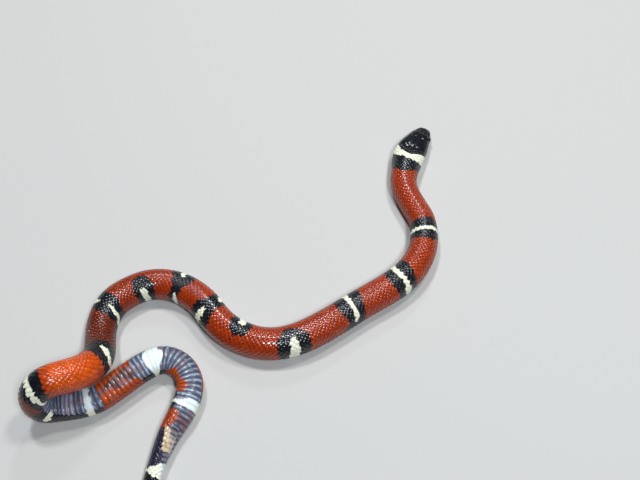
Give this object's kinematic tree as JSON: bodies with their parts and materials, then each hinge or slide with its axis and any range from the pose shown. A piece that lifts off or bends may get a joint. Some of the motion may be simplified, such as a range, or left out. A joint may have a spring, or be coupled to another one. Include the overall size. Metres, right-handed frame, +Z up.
{
  "type": "milk snake",
  "caption": "Young milk snake, life size, lying in loose bends with one raised fold that turns its belly up; black, cream and red bands.",
  "frame": {"origin": "middle of the animal's bounding box, on the floor that it rests on", "axes": "+Z up from the floor, +Y away from the viewer towards the head, +X to the viewer's right"},
  "size_m": [0.1244, 0.1516, 0.0195],
  "materials": {
    "head_skin": "glossy black horny shields",
    "body_skin": "smooth glossy scales, red with black and cream rings",
    "belly_skin": "smooth satin scutes, slate and white with red edges",
    "eye": "polished clear scale over a dark eye"
  },
  "bodies": {
    "root": {"head": "head_skin", "lower_jaw": "head_skin", "eye_left": "eye", "eye_right": "eye", "neck": "body_skin", "body_1": "body_skin", "body_2": "body_skin", "body_3": "body_skin", "body_4": "body_skin", "body_5": "body_skin", "body_6": "body_skin", "body_7": "body_skin", "body_8": "belly_skin", "body_9": "belly_skin", "tail_base": "body_skin", "tail_tip": "body_skin"}
  },
  "joints": []
}
